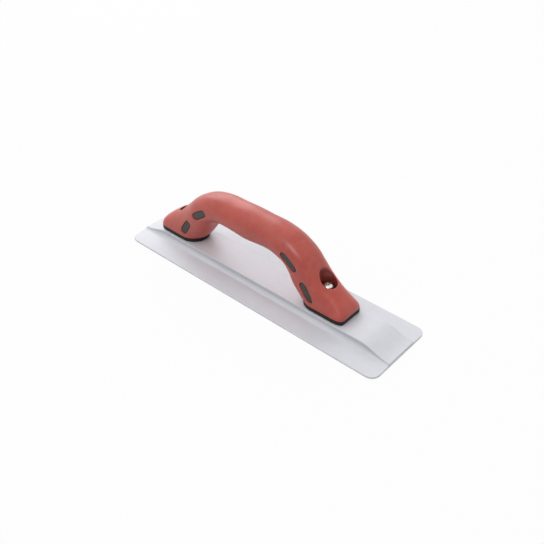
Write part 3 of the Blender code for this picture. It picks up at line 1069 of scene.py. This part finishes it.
def swept_ring(path, inputs, soft_edge):
    """Sweep a rectangle with eased corners along a level path."""
    level = path.node("GeometryNodeSetCurveNormal", {"mode": "Z_UP"}, {"Curve": path})
    size = {"Width": inputs["Thickness"], "Height": inputs["Wall"]}
    profile = path.node("GeometryNodeCurvePrimitiveQuadrilateral", {"mode": "RECTANGLE"}, size)
    eased = {"Curve": profile, "Radius": soft_edge, "Count": 2}
    profile = path.node("GeometryNodeFilletCurve", {"mode": "POLY"}, eased)
    swept = {"Curve": level, "Profile Curve": profile, "Fill Caps": True}
    return path.node("GeometryNodeCurveToMesh", None, swept)


def washer_tree():
    tree, inputs = new_tree("flat_washer", Radius="Float", Wall="Float", Thickness="Float", **STEEL)
    circle = {"Resolution": 72, "Radius": inputs["Radius"]}
    path = inputs["Radius"].node("GeometryNodeCurvePrimitiveCircle", {"mode": "RADIUS"}, circle)
    end_tree(at_both_feet(swept_ring(path, inputs, FLAT_WASHER_EDGE), inputs), inputs["Material"])
    return tree


def spring_washer_tree():
    tree, inputs = new_tree("spring_washer", Radius="Float", Wall="Float", Thickness="Float", Share="Float",
                            Rise="Float", **STEEL)
    spiral = {"Resolution": 72, "Rotations": inputs["Share"], "Start Radius": inputs["Radius"],
              "End Radius": inputs["Radius"], "Height": inputs["Rise"]}
    path = inputs["Radius"].node("GeometryNodeCurveSpiral", None, spiral)
    end_tree(at_both_feet(swept_ring(path, inputs, SPRING_WASHER_EDGE), inputs), inputs["Material"])
    return tree


# %% The washers
def ring_sizes(node):
    """Middle radius, wall, thickness and middle height of a CAD washer."""
    low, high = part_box(node)
    outer = (high.y - low.y) / 2
    inner = SCREW_HOLE_RADIUS
    return (outer + inner) / 2, outer - inner, high.z - low.z, (high.z + low.z) / 2


radius, width, thickness, up = ring_sizes("front_washer")
washers = grow("flat_washers", washer_tree(), Radius=radius, Wall=width, Thickness=thickness, **feet(up, 0.9))
radius, width, thickness, up = ring_sizes("front_lock_washer")
RISE = 0.25 * MM
split_washers = grow("spring_washers", spring_washer_tree(), Radius=radius, Wall=width, Share=0.93, Rise=RISE,
                     Thickness=thickness - RISE, **feet(up - RISE / 2, 1.7))
for piece in (washers, split_washers):
    soften(piece, 40)
    tell(piece)


# %% The shank, head and recess of a screw
THREAD_CREST = 0.85
THREAD_BLEND = 0.25
TIP_TAPER = 0.9 * MM
TIP_SHARE = 0.72
HEAD_OVERLAP = 0.4 * MM
PAN_SPREAD = -0.42
PAN_DOME = 0.62


def screw_shank(inputs):
    """A tube whose radius winds up and down with the thread, closed at both ends."""
    start = inputs["Shank"]
    tube = {"Vertices": 36, "Side Segments": 240, "Radius": 1.0, "Depth": 1.0}
    tube = start.node("GeometryNodeMeshCylinder", {"fill_type": "NGON"}, tube)
    axes = start.node("ShaderNodeSeparateXYZ", None, {"Vector": start.node("GeometryNodeInputPosition")})
    x, y, z = axes.also("X"), axes.also("Y"), (axes.also("Z") - 0.5) * inputs["Length"]
    winding = z / inputs["Pitch"] + y.math("ARCTAN2", y, x) / (2 * math.pi)
    ridge = winding.math("PINGPONG", winding, 0.5) * 2.0
    ridge = ridge.math("SMOOTH_MIN", ridge, THREAD_CREST, THREAD_BLEND)
    tip = ((z + inputs["Length"]) / TIP_TAPER).at_most(1.0)
    radius = (inputs["Shank"] - inputs["Thread"] * ridge) * (TIP_SHARE + (1 - TIP_SHARE) * tip)
    spot = start.node("ShaderNodeCombineXYZ", None, {"X": x * radius, "Y": y * radius, "Z": z + HEAD_OVERLAP})
    return start.node("GeometryNodeSetPosition", None, {"Geometry": tube, "Position": spot})


def screw_head(inputs):
    """A ball flattened below and drawn to a pan shape above."""
    start = inputs["Head"]
    ball = start.node("GeometryNodeMeshUVSphere", None, {"Segments": 64, "Rings": 36, "Radius": 1.0})
    axes = start.node("ShaderNodeSeparateXYZ", None, {"Vector": start.node("GeometryNodeInputPosition")})
    x, y, z = axes.also("X"), axes.also("Y"), axes.also("Z")
    off = (x * x + y * y).root().at_least(1e-4)
    spread = inputs["Head"] * off ** PAN_SPREAD
    height = inputs["Height"] * z.at_least(0.0) ** PAN_DOME
    spot = start.node("ShaderNodeCombineXYZ", None, {"X": x * spread, "Y": y * spread, "Z": height})
    return start.node("GeometryNodeSetPosition", None, {"Geometry": ball, "Position": spot})


def screw_recess(inputs):
    """Two tapered bars that cross: what the driver's tip takes out of the head."""
    start = inputs["Head"]
    bars = []
    for long_side, short_side in (("X", "Y"), ("Y", "X")):
        bar = start.node("GeometryNodeMeshCube", None, {"Size": (1, 1, 1)})
        axes = start.node("ShaderNodeSeparateXYZ", None, {"Vector": start.node("GeometryNodeInputPosition")})
        taper = 0.66 + 0.68 * axes.also("Z")
        sizes = {
            long_side: axes.also(long_side) * inputs["Drive"] * taper,
            short_side: axes.also(short_side) * inputs["Drive_Slot"] * (0.9 + 0.2 * axes.also("Z")),
            "Z": inputs["Height"] + axes.also("Z") * 2.0 * inputs["Drive_Depth"],
        }
        spot = start.node("ShaderNodeCombineXYZ", None, sizes)
        bars.append(start.node("GeometryNodeSetPosition", None, {"Geometry": bar, "Position": spot}))
    return bars


# %% Screw recipe
JOIN = {"operation": "UNION", "solver": "MANIFOLD"}


def screw_tree():
    names = ("Head", "Height", "Shank", "Length", "Pitch", "Thread", "Drive", "Drive_Slot", "Drive_Depth")
    tree, inputs = new_tree("pan_head_screw", **{name: "Float" for name in names}, **STEEL)
    start = inputs["Head"]
    both = start.node("GeometryNodeMeshBoolean", JOIN, {"Mesh 2": screw_head(inputs)})
    tree.links.new(screw_shank(inputs).socket, both.socket.node.inputs["Mesh 2"])
    for bar in screw_recess(inputs):
        both = start.node("GeometryNodeMeshBoolean", CUT, {"Mesh 1": both, "Mesh 2": bar})
    end_tree(at_both_feet(both, inputs), inputs["Material"])
    return tree


screw_recipe = screw_tree()
print("Screw recipe:", len(screw_recipe.nodes), "nodes")

# %% The screws
HEAD_HEIGHT = 3.5 * MM
screws = grow(
    "pan_head_screws",
    screw_recipe,
    Head=(screw_high.y - screw_low.y) / 2,
    Height=HEAD_HEIGHT,
    Shank=2.5 * MM,
    Length=SCREW_TOP - HEAD_HEIGHT - SCREW_TIP + HEAD_OVERLAP,
    Pitch=0.8 * MM,
    Thread=0.42 * MM,
    Drive=5.2 * MM,
    Drive_Slot=1.2 * MM,
    Drive_Depth=2.0 * MM,
    **feet(SCREW_TOP - HEAD_HEIGHT, 0.6),
)
soften(screws, 32)
tell(screws)
for piece, node in ((screws, "screw"), (split_washers, "lock_washer"), (washers, "washer")):
    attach(piece, "root")
    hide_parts("front_" + node, "rear_" + node)

# %% [markdown]
# ## Floor and backdrop
# The float lies on a seamless white ground. Camera and reflections see the ground as white, with only a
# share of the real shading mixed in, so the soft shadow under the blade stays.


# %% Floor
def white_share(start, straight=1.0, reflected=1.0):
    """How far a ray sees plain white: straight from the camera, or reflected or through glass."""
    rays = start.node("ShaderNodeLightPath", output="Is Camera Ray")
    other = rays.also("Is Glossy Ray").at_least(rays.also("Is Transmission Ray"))
    return (rays * straight).at_least(other * reflected)


FLOOR_REACH = 6.0
mesh = bpy.data.meshes.new("floor")
corners = [(x * FLOOR_REACH, y * FLOOR_REACH, 0) for x, y in ((-1, -1), (1, -1), (1, 1), (-1, 1))]
mesh.from_pydata(corners, [], [(0, 1, 2, 3)])
floor = add_object("floor", mesh)
material, place = start_material("white_ground")
paper = place.node("ShaderNodeBsdfDiffuse", None, {"Color": (0.66, 0.66, 0.67, 1)})
glow = place.node("ShaderNodeEmission", None, {"Color": (1, 1, 1, 1), "Strength": 1.0})
whiteness = white_share(place, straight=0.95, reflected=0.85)
ground = place.node("ShaderNodeMixShader", None, {0: whiteness, 1: paper, 2: glow})
ground.node("ShaderNodeOutputMaterial", None, {"Surface": ground})
mesh.materials.append(material)
print(f"Floor: {2 * FLOOR_REACH:.0f} m square")

# %% [markdown]
# ## Light
# The picture has soft light from all round, strongest from the left, and everything near the float is
# white. Many lamps could do it, but the world itself is a softer studio: a few broad patches of light, each
# fading out from one direction. The camera and reflections see plain white instead. Two lamps add what the
# far-off world can't: light from the left that falls off along the blade, and a smaller, harder highlight
# from the near side.


# %% World
def patch(look, direction, spread):
    """A soft patch of light: one in its middle, nought from `spread` degrees away from it."""
    facing = {0: look, 1: Vector(direction).normalized()}
    facing = look.node("ShaderNodeVectorMath", {"operation": "DOT_PRODUCT"}, facing, output="Value")
    return ramp(facing, math.cos(math.radians(spread)), 1.0)


scene = bpy.context.scene
scene.view_settings.view_transform = "Standard"
scene.world = bpy.data.worlds.new("studio")
scene.world.use_nodes = True
scene.world.node_tree.nodes.clear()
sky = Wire(scene.world.node_tree)
PATCHES = (
    # direction, spread in degrees, strength
    ((-0.70, 0.45, 0.55), 80, 0.85),
    ((-0.33, -0.50, 0.80), 45, 1.5),
    ((-0.10, 0.75, 0.65), 55, 0.5),
    ((0.80, 0.50, 0.35), 65, 0.4),
    ((0.95, -0.10, 0.30), 60, 0.3),
)
look = sky.node("ShaderNodeTexCoord", output="Generated")
level = 0.0
for direction, spread, strength in PATCHES:
    level = patch(look, direction, spread) * strength + level
studio = sky.node("ShaderNodeBackground", None, {"Color": (1, 1, 1, 1), "Strength": level})
plain = sky.node("ShaderNodeBackground", None, {"Color": (1, 1, 1, 1), "Strength": 1.0})
backdrop = sky.node("ShaderNodeMixShader", None, {0: white_share(sky), 1: studio, 2: plain})
sky.node("ShaderNodeOutputWorld", None, {"Surface": backdrop})
print("Patches of light:", len(PATCHES))


# %% Lamps
def lamp(name, direction, distance, size, watts):
    """A square soft lamp that faces the float."""
    light = bpy.data.lights.new(name, "AREA")
    light.size = size
    light.energy = watts
    lit = add_object(name, light)
    lit.location = Vector(direction).normalized() * distance
    lit.rotation_euler = lit.location.to_track_quat("Z", "Y").to_euler()
    print(f"{name}: {watts} W at {distance} m")


lamp("left_lamp", (-0.70, 0.45, 0.55), distance=1.2, size=0.8, watts=3.6)
lamp("near_lamp", (0.17, -0.60, 0.78), distance=1.5, size=0.25, watts=3.2)

# %% [markdown]
# ## Camera
# The blade's four edges give the camera: it is level, looks down at about 38 degrees and stands 0.7 m
# away, with no shift.

# %% Camera
IMAGE_PIXELS = 544
FOCAL_PIXELS = 718.98
DISTANCE = 698.2 * MM
azimuth, elevation = math.radians(41.672), math.radians(37.740)
target = Vector((-6.389 * MM, 14.953 * MM, 0.0))
back = Vector((math.sin(azimuth) * math.cos(elevation), -math.cos(azimuth) * math.cos(elevation),
               math.sin(elevation)))
camera = bpy.data.cameras.new("camera")
camera.sensor_width = 36.0
camera.lens = camera.sensor_width * FOCAL_PIXELS / IMAGE_PIXELS
camera.clip_start = 0.01
viewer = add_object("camera", camera)
viewer.location = target + back * DISTANCE
viewer.rotation_euler = back.to_track_quat("Z", "Y").to_euler()
scene.camera = viewer
print(f"Camera: {camera.lens:.2f} mm lens at {tuple(round(v, 3) for v in viewer.location)}")
